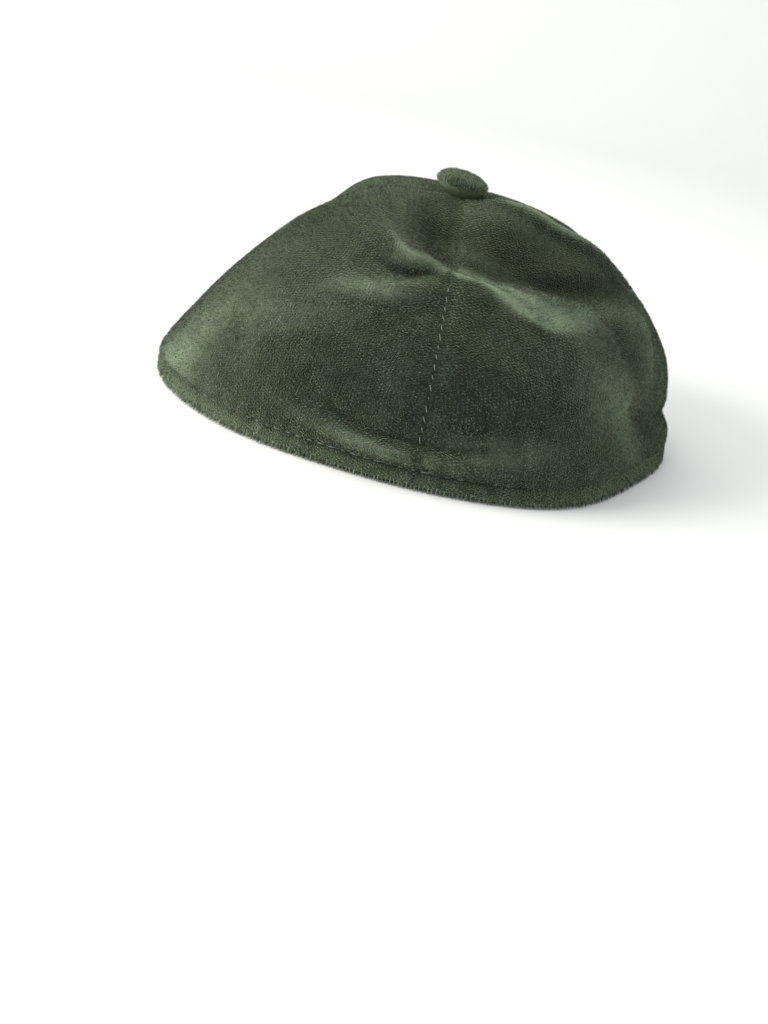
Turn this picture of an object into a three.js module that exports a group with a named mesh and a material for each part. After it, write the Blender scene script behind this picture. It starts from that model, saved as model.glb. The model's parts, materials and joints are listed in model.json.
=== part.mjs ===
// A soft velvet skullcap of four sewn gores, with a turned hem and a covered button on top.
// It rests on its hem. Millimetres, +Z up, the front towards -Y, the origin under the middle of its box.
import * as THREE from "three";

// Driving dimensions
const RIM_LENGTH = 180;
const RIM_WIDTH = 156;
const CROWN_HEIGHT = 74.5;
const WALL = 2;
const GAP = 0.3;
const HEM_HEIGHT = 6.5;
const HEM_THICKNESS = 3.4;
const HEM_PROUD = 0.4;
const HEM_FOOT = 1.6;
const HEM_SECTIONS = 64;
const SEAM_TURN = 2.2;
const SEAM_DIP = 1.2;
const SEAM_ROLL = 2.4;
const TIP_HOLE_RADIUS = 2;
const EDGE_CROWDING = 0.6;
const ROW_CROWDING = 0.45;
const CROWDED_ROW = 0.6;
const BUTTON_DIAMETER = 18.5;
const BUTTON_THICKNESS = 6.2;
const BUTTON_LEAN = 6;
const BUTTON_SINK = 0.8;
const BUTTON_SIDES = 28;
const SHANK_RADIUS = 1.3;
const VELVET_COLOUR = 0x2c3a2e;

// How far the rim stands out of, or in from, its plain oval. Azimuths are degrees from the front towards +X.
const RIM_SWELLS = [
  { azimuth: 34, spread: 22, out: 4 },
  { azimuth: 62, spread: 16, out: -3 },
  { azimuth: -52, spread: 16, out: 1.5 },
  { azimuth: -16, spread: 16, out: -1.5 },
];

// The crown's upright sections: the share of the rim's radius that is left at each level, a share of the height.
const LEVELS = { hem: 0, belly: 0.26, waist: 0.5, shoulder: 0.74, top: 0.92 };
const SECTIONS = [
  { azimuth: -90, hem: 1, belly: 0.87, waist: 0.755, shoulder: 0.56, top: 0.31 },
  { azimuth: -45, hem: 1, belly: 0.935, waist: 0.83, shoulder: 0.665, top: 0.42 },
  { azimuth: 0, hem: 1, belly: 0.97, waist: 0.857, shoulder: 0.65, top: 0.38 },
  { azimuth: 45, hem: 1, belly: 0.945, waist: 0.905, shoulder: 0.655, top: 0.435 },
  { azimuth: 90, hem: 1, belly: 0.95, waist: 0.88, shoulder: 0.69, top: 0.4 },
  { azimuth: 135, hem: 1, belly: 0.96, waist: 0.845, shoulder: 0.775, top: 0.46 },
  { azimuth: 180, hem: 1, belly: 0.95, waist: 0.86, shoulder: 0.725, top: 0.455 },
  { azimuth: 225, hem: 1, belly: 0.945, waist: 0.835, shoulder: 0.62, top: 0.48 },
];

// The folds, each from one place on the crown to another by way of a third: an azimuth and a height of the
// unfolded crown. Out is the height of a ridge, or below nought the depth of a valley, and width its half width.
const FOLDS = [
  { fold: "right shoulder valley", from: [3, 59.5], by: [28, 62], to: [68, 53], width: 7, out: -4 },
  { fold: "right shoulder ridge", from: [2, 57], by: [21, 56], to: [47, 45], width: 5, out: 2.5 },
  { fold: "left upper valley", from: [4, 60], by: [-7, 65], to: [-24, 71], width: 7, out: -3 },
  { fold: "left curl", from: [3, 58], by: [-13, 60.5], to: [-33, 66.5], width: 4.5, out: 2.2 },
  { fold: "left eye", from: [1, 57], by: [-9, 55.8], to: [-24, 57.5], width: 4, out: -3 },
  { fold: "left lip", from: [0, 54.5], by: [-14, 52], to: [-38, 50], width: 5, out: 1.5 },
  { fold: "front crease", from: [-20, 19], by: [-3, 16], to: [15, 17], width: 4, out: -1.8 },
  { fold: "front crease lip", from: [-18, 13], by: [-2, 11], to: [16, 12], width: 3.5, out: 1 },
  { fold: "right dimple", from: [57, 52], by: [54, 46.5], to: [51, 41], width: 6, out: -2.5 },
  { fold: "right pucker", from: [55, 31], by: [64, 20.5], to: [71, 12], width: 5, out: -2 },
  { fold: "left end dip", from: [-66, 24], by: [-64, 15], to: [-62, 7], width: 5, out: -1.5 },
];

// The gores, from seam to seam.
const PANELS = [
  { name: "panel_front_right", seam: 0, columns: 24, rows: 28 },
  { name: "panel_back_right", seam: 1, columns: 14, rows: 16 },
  { name: "panel_back_left", seam: 2, columns: 14, rows: 16 },
  { name: "panel_front_left", seam: 3, columns: 24, rows: 28 },
];
const PANEL_ANGLE = 360 / PANELS.length;

const { degToRad, radToDeg, euclideanModulo, lerp } = THREE.MathUtils;
const bell = (x) => Math.exp(-x * x);

function rimRadius(azimuth) {
  const across = Math.sin(degToRad(azimuth)) / (RIM_LENGTH / 2);
  const along = Math.cos(degToRad(azimuth)) / (RIM_WIDTH / 2);
  const off = (row) => euclideanModulo(azimuth - row.azimuth + 180, 360) - 180;
  const swells = RIM_SWELLS.map((row) => row.out * bell(off(row) / row.spread));
  return swells.reduce((radius, out) => radius + out, 1 / Math.hypot(across, along));
}

// A level's share at any azimuth, on a smooth closed curve through the rows of SECTIONS.
function sectionShare(level, azimuth) {
  const count = SECTIONS.length;
  const start = SECTIONS[0].azimuth;
  const place = euclideanModulo(azimuth - start, 360) + start;
  const row = SECTIONS.findLastIndex((section) => section.azimuth <= place);
  const [before, here, next, after] = [-1, 0, 1, 2].map((step) => SECTIONS[(row + step + count) % count]);
  const ahead = (a, b) => euclideanModulo(b.azimuth - a.azimuth, 360);
  const span = ahead(here, next);
  const leave = ((next[level] - before[level]) / ahead(before, next)) * span;
  const arrive = ((after[level] - here[level]) / ahead(here, after)) * span;
  const s = (place - here.azimuth) / span;
  const rise = s * s * (3 - 2 * s);
  return lerp(here[level], next[level], rise) + s * (1 - s) * ((1 - s) * leave - s * arrive);
}

// The meridian at one azimuth, as distance from the axis and height. It runs on over the top, which is level.
const meridians = new Map();
function meridian(azimuth) {
  const key = azimuth.toFixed(3);
  if (!meridians.has(key)) {
    const radius = rimRadius(azimuth);
    const knots = Object.entries(LEVELS).map(
      ([level, height]) => new THREE.Vector2(radius * sectionShare(level, azimuth), height * CROWN_HEIGHT),
    );
    const { x, y } = knots.at(-1);
    knots.push(new THREE.Vector2(0, CROWN_HEIGHT), new THREE.Vector2(-x, y));
    const curve = new THREE.SplineCurve(knots);
    const lastKnot = knots.length - 1;
    const upTo = curve.getLengths(100 * lastKnot);
    meridians.set(key, { curve, shareToTop: upTo[100 * (lastKnot - 1)] / upTo.at(-1) });
  }
  return meridians.get(key);
}

// A point of the unfolded crown. Rise is the share of the way from the rim to the top, along the cloth.
function plainPoint(azimuth, rise) {
  const { curve, shareToTop } = meridian(azimuth);
  const { x, y } = curve.getPointAt(rise * shareToTop);
  const angle = degToRad(azimuth);
  return new THREE.Vector3(x * Math.sin(angle), -x * Math.cos(angle), y);
}

// The rise at which the meridian first meets a test, such as reaching a height.
function riseWhere(azimuth, reached) {
  let [low, high] = [0, 1];
  for (let i = 0; i < 30; i++) {
    const middle = (low + high) / 2;
    [low, high] = reached(plainPoint(azimuth, middle)) ? [low, middle] : [middle, high];
  }
  return high;
}
const riseAtHeight = (azimuth, height) => riseWhere(azimuth, ({ z }) => z >= height);

// The outward normal of a surface of azimuth and rise.
function normalOf(surface, azimuth, rise) {
  const stepAround = 1;
  const stepUp = 0.012;
  const low = Math.max(rise - stepUp, 0);
  const high = Math.min(rise + stepUp, 0.99);
  const around = surface(azimuth + stepAround, rise).sub(surface(azimuth - stepAround, rise));
  const up = surface(azimuth, high).sub(surface(azimuth, low));
  return around.cross(up).normalize();
}

const foldLines = FOLDS.map(({ from, by, to, width, out }) => {
  const places = [from, by, to].map(([azimuth, height]) => plainPoint(azimuth, riseAtHeight(azimuth, height)));
  return { width, out, points: new THREE.CatmullRomCurve3(places).getPoints(40) };
});

// How far the folds push a point of the crown out. A fold dies away at both its ends.
function foldHeight(point) {
  let height = 0;
  for (const { points, width, out } of foldLines) {
    const distances = points.map((step) => step.distanceTo(point));
    const off = Math.min(...distances);
    const along = distances.indexOf(off) / (points.length - 1);
    height += out * bell(off / width) * Math.sin(Math.PI * along) ** 0.7;
  }
  return height;
}

// The outer face of the crown, with its folds, drawn in at the seams and under the button.
function crownPoint(azimuth, rise) {
  const plain = plainPoint(azimuth, rise);
  const seam = Math.round((azimuth - SEAM_TURN) / PANEL_ANGLE) * PANEL_ANGLE + SEAM_TURN;
  const fromAxis = Math.hypot(plain.x, plain.y);
  const fromSeam = degToRad(azimuth - seam) * fromAxis;
  const drawnIn = SEAM_DIP * bell(fromSeam / SEAM_ROLL) + BUTTON_SINK * bell(fromAxis / BUTTON_DIAMETER);
  const out = foldHeight(plain) - drawnIn;
  return plain.addScaledVector(normalOf(plainPoint, azimuth, rise), out);
}

// A closed solid through rings of points: capped at both ends, or closed on itself.
function loft(rings, closed) {
  const size = rings[0].length;
  const faces = [];
  const quad = (a, b, c, d) => faces.push(a, b, c, a, c, d);
  const bands = closed ? rings.length : rings.length - 1;
  for (let band = 0; band < bands; band++) {
    const here = band * size;
    const next = ((band + 1) % rings.length) * size;
    for (let i = 0; i < size; i++) {
      const j = (i + 1) % size;
      quad(here + i, here + j, next + j, next + i);
    }
  }
  if (!closed) {
    const top = (rings.length - 1) * size;
    for (let i = 0; i < size / 2 - 1; i++) {
      const j = size - 1 - i;
      quad(i, j, j - 1, i + 1);
      quad(top + i, top + i + 1, top + j - 1, top + j);
    }
  }
  const geometry = new THREE.BufferGeometry().setFromPoints(rings.flat());
  geometry.setIndex(faces);
  geometry.computeVertexNormals();
  return geometry;
}

// The share of the way up at a row. The rows crowd together at the shoulder, where the folds are.
function rowShare(even) {
  const wave = (share) => Math.sin(2 * Math.PI * (share - CROWDED_ROW + 0.5));
  return even + (ROW_CROWDING * (wave(even) - wave(0))) / (2 * Math.PI);
}

// One gore: rings round the wall's section, from the hem up to the tip under the button.
function panelGeometry({ seam, columns, rows }) {
  const rings = [];
  const footHeight = HEM_HEIGHT + GAP;
  for (let i = 0; i <= rows; i++) {
    const outer = [];
    const inner = [];
    for (let j = 0; j <= columns; j++) {
      const even = j / columns;
      const crowded = (1 - Math.cos(Math.PI * even)) / 2;
      const share = lerp(even, crowded, EDGE_CROWDING);
      const along = SEAM_TURN + PANEL_ANGLE * (seam + share);
      const foot = riseAtHeight(along, footHeight);
      const tip = riseWhere(along, ({ x, y }) => Math.hypot(x, y) <= TIP_HOLE_RADIUS);
      const rise = lerp(foot, tip, rowShare(i / rows));
      const { x, y } = plainPoint(along, rise);
      const inset = radToDeg(GAP / 2 / Math.hypot(x, y));
      const azimuth = along + inset * (1 - 2 * share);
      const face = crownPoint(azimuth, rise);
      const back = face.clone().addScaledVector(normalOf(crownPoint, azimuth, rise), -WALL);
      face.z = Math.max(face.z, footHeight);
      back.z = Math.max(back.z, footHeight);
      outer.push(face);
      inner.push(back);
    }
    rings.push([...outer, ...inner.reverse()]);
  }
  return loft(rings, false);
}

// The hem: the gores' edge turned under and sewn down, a doubled band that leans in with the crown on a flat foot.
function hemGeometry() {
  const footMiddle = HEM_THICKNESS / 2;
  const section = [
    { inwards: footMiddle - HEM_FOOT / 2, z: 0 },
    { inwards: footMiddle + HEM_FOOT / 2, z: 0 },
    { inwards: HEM_THICKNESS * 0.9, z: HEM_HEIGHT * 0.12 },
    { inwards: HEM_THICKNESS, z: HEM_HEIGHT * 0.35 },
    { inwards: HEM_THICKNESS, z: HEM_HEIGHT * 0.7 },
    { inwards: HEM_THICKNESS * 0.85, z: HEM_HEIGHT },
    { inwards: HEM_THICKNESS * 0.15, z: HEM_HEIGHT },
    { inwards: 0, z: HEM_HEIGHT * 0.7 },
    { inwards: 0, z: HEM_HEIGHT * 0.35 },
    { inwards: HEM_THICKNESS * 0.1, z: HEM_HEIGHT * 0.12 },
  ];
  const rings = [];
  for (let i = 0; i < HEM_SECTIONS; i++) {
    const azimuth = (360 * i) / HEM_SECTIONS;
    const angle = degToRad(azimuth);
    const radius = rimRadius(azimuth) + HEM_PROUD;
    const { x, y } = plainPoint(azimuth, riseAtHeight(azimuth, HEM_HEIGHT));
    const lean = (Math.hypot(x, y) + HEM_PROUD - radius) / HEM_HEIGHT;
    const ring = section.map(({ inwards, z }) => {
      const out = radius - inwards + lean * z;
      return new THREE.Vector3(out * Math.sin(angle), -out * Math.cos(angle), z);
    });
    rings.push(ring);
  }
  return loft(rings, true);
}

// The covered button: a domed disc whose cloth is drawn in below, on a short shank through the gores' tips.
function buttonGeometry() {
  const radius = BUTTON_DIAMETER / 2;
  const brow = BUTTON_THICKNESS * 0.42;
  const dome = BUTTON_THICKNESS - brow;
  const profile = [new THREE.Vector2(0, -WALL)];
  profile.push(new THREE.Vector2(SHANK_RADIUS, -WALL), new THREE.Vector2(SHANK_RADIUS, 0));
  const steps = 12;
  for (let i = 0; i <= steps; i++) {
    const angle = lerp(-0.44 * Math.PI, 0.5 * Math.PI, i / steps);
    const out = i === steps ? 0 : radius * Math.cos(angle) ** 0.75;
    const up = brow + Math.sin(angle) * (angle < 0 ? brow : dome);
    profile.push(new THREE.Vector2(out, up));
  }
  return new THREE.LatheGeometry(profile, BUTTON_SIDES).rotateX(Math.PI / 2);
}

const velvet = () => new THREE.MeshStandardMaterial({ color: VELVET_COLOUR, roughness: 0.95, metalness: 0 });

function piece(name, geometry) {
  const mesh = new THREE.Mesh(geometry, velvet());
  mesh.name = name;
  return mesh;
}

const cap = new THREE.Group();
cap.name = "skullcap";
PANELS.forEach((panel) => cap.add(piece(panel.name, panelGeometry(panel))));
cap.add(piece("hem", hemGeometry()));

const button = piece("button", buttonGeometry());
button.position.z = CROWN_HEIGHT - BUTTON_SINK + GAP;
button.rotation.y = degToRad(BUTTON_LEAN);
cap.add(button);

const middle = new THREE.Box3().setFromObject(cap, true).getCenter(new THREE.Vector3());
cap.position.set(-middle.x, -middle.y, 0);

export default cap;
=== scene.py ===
import json
import math

import bpy
import numpy as np
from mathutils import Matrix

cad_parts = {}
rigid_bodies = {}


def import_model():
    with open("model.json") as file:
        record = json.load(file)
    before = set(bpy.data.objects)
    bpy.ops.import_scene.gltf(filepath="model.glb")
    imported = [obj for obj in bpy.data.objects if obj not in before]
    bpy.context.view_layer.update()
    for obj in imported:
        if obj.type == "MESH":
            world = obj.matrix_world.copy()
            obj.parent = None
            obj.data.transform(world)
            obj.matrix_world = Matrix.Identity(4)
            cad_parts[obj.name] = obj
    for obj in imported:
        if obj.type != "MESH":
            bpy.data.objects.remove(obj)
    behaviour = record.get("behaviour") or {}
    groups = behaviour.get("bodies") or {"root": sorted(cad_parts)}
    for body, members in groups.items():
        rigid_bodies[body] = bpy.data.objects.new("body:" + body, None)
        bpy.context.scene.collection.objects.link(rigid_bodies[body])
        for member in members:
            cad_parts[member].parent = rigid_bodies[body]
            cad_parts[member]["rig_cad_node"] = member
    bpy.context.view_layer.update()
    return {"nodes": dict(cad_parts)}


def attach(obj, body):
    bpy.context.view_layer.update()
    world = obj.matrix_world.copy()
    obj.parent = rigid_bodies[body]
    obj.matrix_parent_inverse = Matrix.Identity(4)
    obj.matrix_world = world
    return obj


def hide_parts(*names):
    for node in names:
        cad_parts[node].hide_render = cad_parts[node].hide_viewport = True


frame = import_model()

# The camera looks down on the front seam from about 40 cm away.
# It leans over to one side, so that the rim slopes across the picture.
CAMERA_PLACE = (-0.0029, -0.3674, 0.1339)
CAMERA_DIP = 26.24
CAMERA_LEAN = 12.03
CAMERA_LENS = 37.97
bpy.ops.object.camera_add(location=CAMERA_PLACE)
camera = bpy.context.object
camera.rotation_mode = "ZYX"
camera.rotation_euler = (math.radians(90 - CAMERA_DIP), 0, math.radians(CAMERA_LEAN))
camera.data.lens = CAMERA_LENS
camera.data.sensor_width = 36
camera.data.clip_start = 0.01
bpy.context.scene.camera = camera

# The crown is four gores of dark green velvet, cut as wedges and sewn edge to edge with the pile outside.
# The cloth is slack, so it sinks below the shoulder into soft folds.
# The folds run out of a pinch in the front seam.
GORES = [
    {"side": "front_left", "middle": -42.8, "grain": -4, "shine": 0.43},
    {"side": "front_right", "middle": 47.2, "grain": 9, "shine": 0.4},
    {"side": "back_right", "middle": 137.2, "grain": -4, "shine": 0.45},
    {"side": "back_left", "middle": -132.8, "grain": 5, "shine": 0.45},
]
GORE_TURN = 90
HALF_GORE = GORE_TURN / 2
GORE_CREASE = 0.6
CROWN_CENTRE = np.array([0, 0, 0.012])
HEM_TOP = 0.0065
SHARP_EDGE = 50
SEAM_FILL = 0.0006
SEAM_GROOVE = 0.0012
SEAM_SHADE = 0.6
SEAM_PULL = {"by": 0.00016, "edge": 0.00015, "reach": 0.0006}
HEM_PULL = {"by": 0.0003, "edge": 0.0003, "reach": 0.0008}
AZIMUTH_WEIGHT = 0.8
NEAREST = 8
SWELL_REACH = 0.003
INSIDE_FACING = -0.2
CLOTH_RIM = 86
CLOTH_FOOT = 8
WALE_PITCH = 1.13
LOOP_PITCH = 0.9
WALE_RELIEF = 0.1
LOOP_RELIEF = 0.15
PILE_RELIEF = 0.0014
LOOP_LIGHT = 0.6
GRIT_LIGHT = 0.4
PARTED_SCALE = 0.13
CRUSHED_SCALE = 0.2
SPECKLE_SCALE = 2.0
GRIT_SCALE = 1.5
# Of the pile colours, the deepest is painted shade and the frosted one is painted highlight.
PILE_PAINTED_SHADE = (0.003, 0.005, 0.003, 1)
PILE_SHADOW = (0.005, 0.009, 0.005, 1)
PILE_BODY = (0.017, 0.026, 0.018, 1)
PILE_PAINTED_HIGHLIGHT = (0.19, 0.24, 0.158, 1)
PILE_TIP = (0.3, 0.375, 0.33, 1)
PILE_SHEEN = (0.66, 0.8, 0.48, 1)
BACKING = (0.045, 0.055, 0.044, 1)
BACKING_DARK = 0.6
KNIT_SCALE = 0.25
KNIT_RELIEF = 0.0004
# A place on a line is an azimuth in degrees and a height in millimetres.
# A fold's width, and how far it pushes the cloth out, are in millimetres.
FOLDS = [
    {"fold": "ledge crest",
     "line": [(-6, 58), (4, 57.8), (13, 57.7), (19, 56.3), (26, 52.2), (30, 49.4), (36, 48.4), (50, 46.5)],
     "width": 2.2, "out": 1.7},
    {"fold": "shelf", "line": [(2, 60), (14, 59.3), (23, 57.5), (31, 54.5), (40, 53), (58, 52)],
     "width": 4.5, "out": -2.2},
    {"fold": "ledge valley",
     "line": [(-8, 63), (12, 61.5), (32, 61.5), (48, 59.5), (62, 57.5), (76, 56.5), (96, 57)],
     "width": 7, "out": -6.5},
    {"fold": "under ledge", "line": [(0, 50), (15, 45.5), (28, 39.5), (46, 33)], "width": 5, "out": -1},
    {"fold": "ledge end", "line": [(30, 47.5), (46, 46.5), (76, 46)], "width": 6, "out": 1.4},
    {"fold": "right dimple", "line": [(63, 55), (61.5, 46), (59, 38)], "width": 4.5, "out": -3.4},
    {"fold": "right upright", "line": [(80, 54), (73, 46), (65, 34)], "width": 3.2, "out": 2},
    {"fold": "right slope", "line": [(34, 50), (44, 40), (54, 31), (68, 18)], "width": 6, "out": 1.4},
    {"fold": "right pucker", "line": [(55, 31), (66, 20), (74, 5)], "width": 3.4, "out": -2},
    {"fold": "right notch", "line": [(64, 20), (80, 17), (98, 15)], "width": 3.2, "out": -2.0},
    {"fold": "right seam roll",
     "line": [(50, 75.5), (66, 74), (77, 72), (82, 69), (83, 66.5), (84, 63), (86, 58), (88, 46)],
     "width": 3, "out": 4.2},
    {"fold": "right seam fall", "line": [(125, 76), (112, 72.5), (104, 67), (100, 60), (97, 46)],
     "width": 4.5, "out": -2.8},
    {"fold": "curl crest", "line": [(-40, 67.5), (-25, 64), (-19, 61), (-13, 58.8), (-4, 59), (8, 57.5)],
     "width": 2.2, "out": 1.8},
    {"fold": "pocket", "line": [(-30, 73), (-14, 69), (-8, 64), (2, 59.5)], "width": 6, "out": -3.2},
    {"fold": "eye", "line": [(0, 56.5), (-7, 55.6), (-14, 55.2), (-24, 57)], "width": 1.8, "out": -1.6},
    {"fold": "lower lip", "line": [(5, 56.5), (-9, 53.5), (-18, 52), (-38, 48)], "width": 3.6, "out": 1.5},
    {"fold": "left ridge", "line": [(-100, 69), (-44, 66), (-18, 57)], "width": 5.5, "out": 1.0},
    {"fold": "left hollow", "line": [(-84, 64), (-48, 61), (-28, 54)], "width": 8, "out": -2},
    {"fold": "left seam roll", "line": [(-70, 75), (-80, 69), (-83, 60), (-84, 44)],
     "width": 4, "out": 1.8},
    {"fold": "left seam fall", "line": [(-120, 77), (-108, 70), (-100, 61), (-97, 44)],
     "width": 6, "out": -2.2},
    {"fold": "left end ridge", "line": [(-78, 40), (-73, 24), (-68, 4)], "width": 5, "out": 2.2},
    {"fold": "left end hollow", "line": [(-60, 44), (-50, 28), (-44, 11)], "width": 7, "out": -1.8},
    {"fold": "left bump", "line": [(-108, 40), (-101, 26), (-94, 10)], "width": 8, "out": 1.5},
    {"fold": "front crease", "line": [(-28, 23), (-16, 16.8), (-8, 13.8), (0, 13), (8, 14), (22, 18)],
     "width": 2.4, "out": -2.0},
    {"fold": "crease lip", "line": [(-36, 19), (-20, 13.6), (-8, 11), (2, 10.3), (12, 11.2), (28, 15)],
     "width": 2.6, "out": 1.7},
    {"fold": "upper face", "line": [(-34, 72.5), (-4, 70.5), (20, 70), (44, 69), (66, 68.3), (92, 68)],
     "width": 10, "out": -7},
    {"fold": "upper slope", "line": [(-24, 68.5), (-4, 67.5), (18, 67.5), (40, 66.5), (62, 64.5), (86, 63)],
     "width": 5, "out": -2.2},
    {"fold": "curl flank", "line": [(0, 55.5), (-16, 58.5), (-28, 61), (-50, 64)], "width": 6, "out": 2.2},
    {"fold": "right back roll", "line": [(104, 70), (122, 52), (138, 40), (156, 26)],
     "width": 8, "out": -2},
    {"fold": "back ridge", "line": [(118, 66), (150, 52), (184, 43)], "width": 6, "out": 1.6},
    {"fold": "back hollow", "line": [(178, 62), (205, 50), (244, 40)], "width": 8, "out": -2.2},
    {"fold": "left back roll", "line": [(-150, 46), (-122, 30), (-100, 10)], "width": 7, "out": 1.5},
]
# Painted light and shade on the pile, along lines:
# painted highlight where the light is above 0, and painted shade where it is below 0.
# The highlights lie on the ledge, crests and rims; the shade in the hollows, the crease, the eye and under
# the button.
PAINTED_LIGHT_PATCHES = [
    {"patch": "shelf",
     "line": [(-8, 58.5), (2, 59), (9, 59.3), (15, 59.1), (19, 58.4), (24, 57),
              (30, 54.8), (40, 52.5), (56, 52)],
     "width": 5, "light": 1.4},
    {"patch": "shelf end", "line": [(32, 53.5), (46, 52.5), (62, 52.3), (78, 51)],
     "width": 4.5, "light": 0.5},
    {"patch": "ledge crest",
     "line": [(-8, 58), (4, 58.2), (13, 58), (19, 56.8), (26, 52.8), (30, 50), (38, 49)],
     "width": 1.6, "light": 0.5},
    {"patch": "upper face", "line": [(-12, 68), (18, 70), (45, 69), (62, 65), (80, 60), (98, 56)],
     "width": 10, "light": -1.0},
    {"patch": "valley", "line": [(14, 64.5), (45, 61.5), (60, 58.5), (74, 56.5), (94, 55)],
     "width": 5.5, "light": -0.9},
    {"patch": "right rim", "line": [(50, 75.5), (66, 74), (77, 72), (82, 69), (84, 63), (86, 58), (88, 46)],
     "width": 2, "light": 1.0},
    {"patch": "tip", "line": [(-40, 77), (10, 76), (50, 76.5)], "width": 5, "light": -0.9},
    {"patch": "pocket", "line": [(-30, 73), (-12, 68), (-4, 62)], "width": 7, "light": -0.4},
    {"patch": "left shoulder", "line": [(-92, 58), (-66, 60), (-52, 64), (-30, 68)],
     "width": 12, "light": -1.0},
    {"patch": "left middle", "line": [(-60, 32), (-40, 37), (-14, 44)], "width": 10, "light": 0.3},
    {"patch": "curl flank", "line": [(-30, 58), (-13, 57), (2, 56.5)], "width": 3, "light": 0.4},
    {"patch": "right upright", "line": [(80, 58), (74, 48), (67, 36), (62, 22)], "width": 5, "light": 0.4},
    {"patch": "lower lip", "line": [(-38, 46), (-24, 49.5), (-14, 51.5), (0, 54)],
     "width": 3.5, "light": 0.5},
    {"patch": "left end", "line": [(-60, 40), (-64, 28), (-66, 18), (-64, 9), (-60, 0)],
     "width": 12, "light": 0.45},
    {"patch": "left corner", "line": [(-84, 12), (-64, 10), (-40, 10)], "width": 8, "light": 0.3},
    {"patch": "left foot", "line": [(-40, 26), (-26, 27), (-10, 30)], "width": 9, "light": -0.3},
    {"patch": "front wall", "line": [(4, 52), (11, 42), (15, 28)], "width": 9, "light": -0.4},
    {"patch": "right middle", "line": [(34, 48), (43, 37), (54, 27), (60, 16), (63, 5)],
     "width": 9, "light": 0.6},
    {"patch": "right foot", "line": [(2, 13), (20, 15.5), (42, 17)], "width": 6, "light": 0.35},
    {"patch": "crease lip", "line": [(-36, 17), (-20, 12.6), (-8, 10.6), (2, 10), (14, 11)],
     "width": 3, "light": 0.45},
    {"patch": "crease", "line": [(-30, 24), (-16, 16.8), (-8, 13.9), (0, 13.2), (8, 14.2), (20, 17)],
     "width": 1.1, "light": -0.6},
    {"patch": "curl crest", "line": [(-44, 68.5), (-25, 64), (-19, 61), (-13, 58.9), (-4, 58.8), (8, 57.6)],
     "width": 1.2, "light": 0.55},
    {"patch": "behind the right seam", "line": [(140, 76), (116, 72.5), (106, 67), (101, 60), (98, 44)],
     "width": 4.5, "light": -1.0},
    {"patch": "right back", "line": [(104, 62), (128, 52), (150, 44), (176, 40)],
     "width": 14, "light": -0.7},
    {"patch": "left back", "line": [(190, 64), (214, 54), (238, 44), (262, 40)],
     "width": 14, "light": -0.6},
    {"patch": "right back foot", "line": [(108, 18), (130, 15), (158, 20)], "width": 8, "light": 0.25},
    {"patch": "left back foot", "line": [(196, 20), (222, 15), (250, 18)], "width": 8, "light": 0.2},
    {"patch": "eye", "line": [(4, 56), (-7, 55.6), (-14, 55.2), (-26, 57)], "width": 2, "light": -0.45},
]
HEM_GROOVE = 0.0009
HEM_SHADE = 0.9
RIM_RADIUS = 84
PUFF = {"out": 0.0011, "above": 3.5, "reach": 4}
PUCKER_WAVES = [
    {"pitch": 7.3, "height": 1, "shift": 0},
    {"pitch": 11.9, "height": 0.8, "shift": 1.3},
]
PUCKER_SWELL = {"pitch": 61, "height": 0.5, "shift": 0.6}
PUCKER_DEPTH = 0.00017
PUCKER_LEAST = 0.35
PUCKER_REACH = 6
TUCK_ABOVE = 1
TUCK_REACH = 6.5
LEFT_HANG = {"azimuth": -88, "spread": 34, "out": 0.0032, "foot": 7, "top": 38, "fade": 24}
LEFT_FOOT = {"azimuth": -72, "spread": 15, "out": 0.0024, "top": 20, "fade": 14}
HEM_TUCKS = [
    {"azimuth": -84, "slant": 0.6, "width": 1.2, "deep": 1.0},
    {"azimuth": -76, "slant": 0.5, "width": 1.0, "deep": 0.8},
    {"azimuth": -58, "slant": 0.4, "width": 1.4, "deep": 0.4},
    {"azimuth": 51, "slant": -0.3, "width": 1.4, "deep": 0.7},
    {"azimuth": 70, "slant": -0.4, "width": 1.6, "deep": 1.0},
    {"azimuth": 128, "slant": 0.4, "width": 1.4, "deep": 0.6},
    {"azimuth": -152, "slant": -0.3, "width": 1.5, "deep": 0.7},
]


def copy_of(node, name):
    """A new piece with a CAD node's shape: its corners merged and its triangles paired into quads."""
    bpy.ops.object.select_all(action="DESELECT")
    frame["nodes"][node].select_set(True)
    bpy.context.view_layer.objects.active = frame["nodes"][node]
    bpy.ops.object.duplicate()
    piece = bpy.context.object
    piece.name = piece.data.name = name
    del piece["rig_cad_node"]
    piece.data.materials.clear()
    bpy.ops.mesh.customdata_custom_splitnormals_clear()
    bpy.ops.object.mode_set(mode="EDIT")
    bpy.ops.mesh.select_all(action="SELECT")
    bpy.ops.mesh.remove_doubles(threshold=1e-6)
    bpy.ops.mesh.tris_convert_to_quads(face_threshold=math.pi, shape_threshold=math.pi)
    bpy.ops.object.mode_set(mode="OBJECT")
    return piece


def subdivide(piece, levels, crease=0.0):
    """Rounds a piece with an applied subdivision surface, which keeps its sharp edges by the crease."""
    bpy.context.view_layer.objects.active = piece
    bpy.ops.object.mode_set(mode="EDIT")
    bpy.ops.mesh.select_mode(type="EDGE")
    bpy.ops.mesh.select_all(action="DESELECT")
    bpy.ops.mesh.edges_select_sharp(sharpness=math.radians(SHARP_EDGE))
    bpy.ops.object.mode_set(mode="OBJECT")
    sharp = read(piece.data.edges, "select", 1)
    piece.data.attributes.new("crease_edge", "FLOAT", "EDGE")
    piece.data.attributes["crease_edge"].data.foreach_set("value", (sharp * crease).astype(np.float32))
    smooth = piece.modifiers.new("smooth", "SUBSURF")
    smooth.levels = smooth.render_levels = levels
    bpy.ops.object.modifier_apply(modifier=smooth.name)
    bpy.ops.object.shade_smooth()


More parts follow.
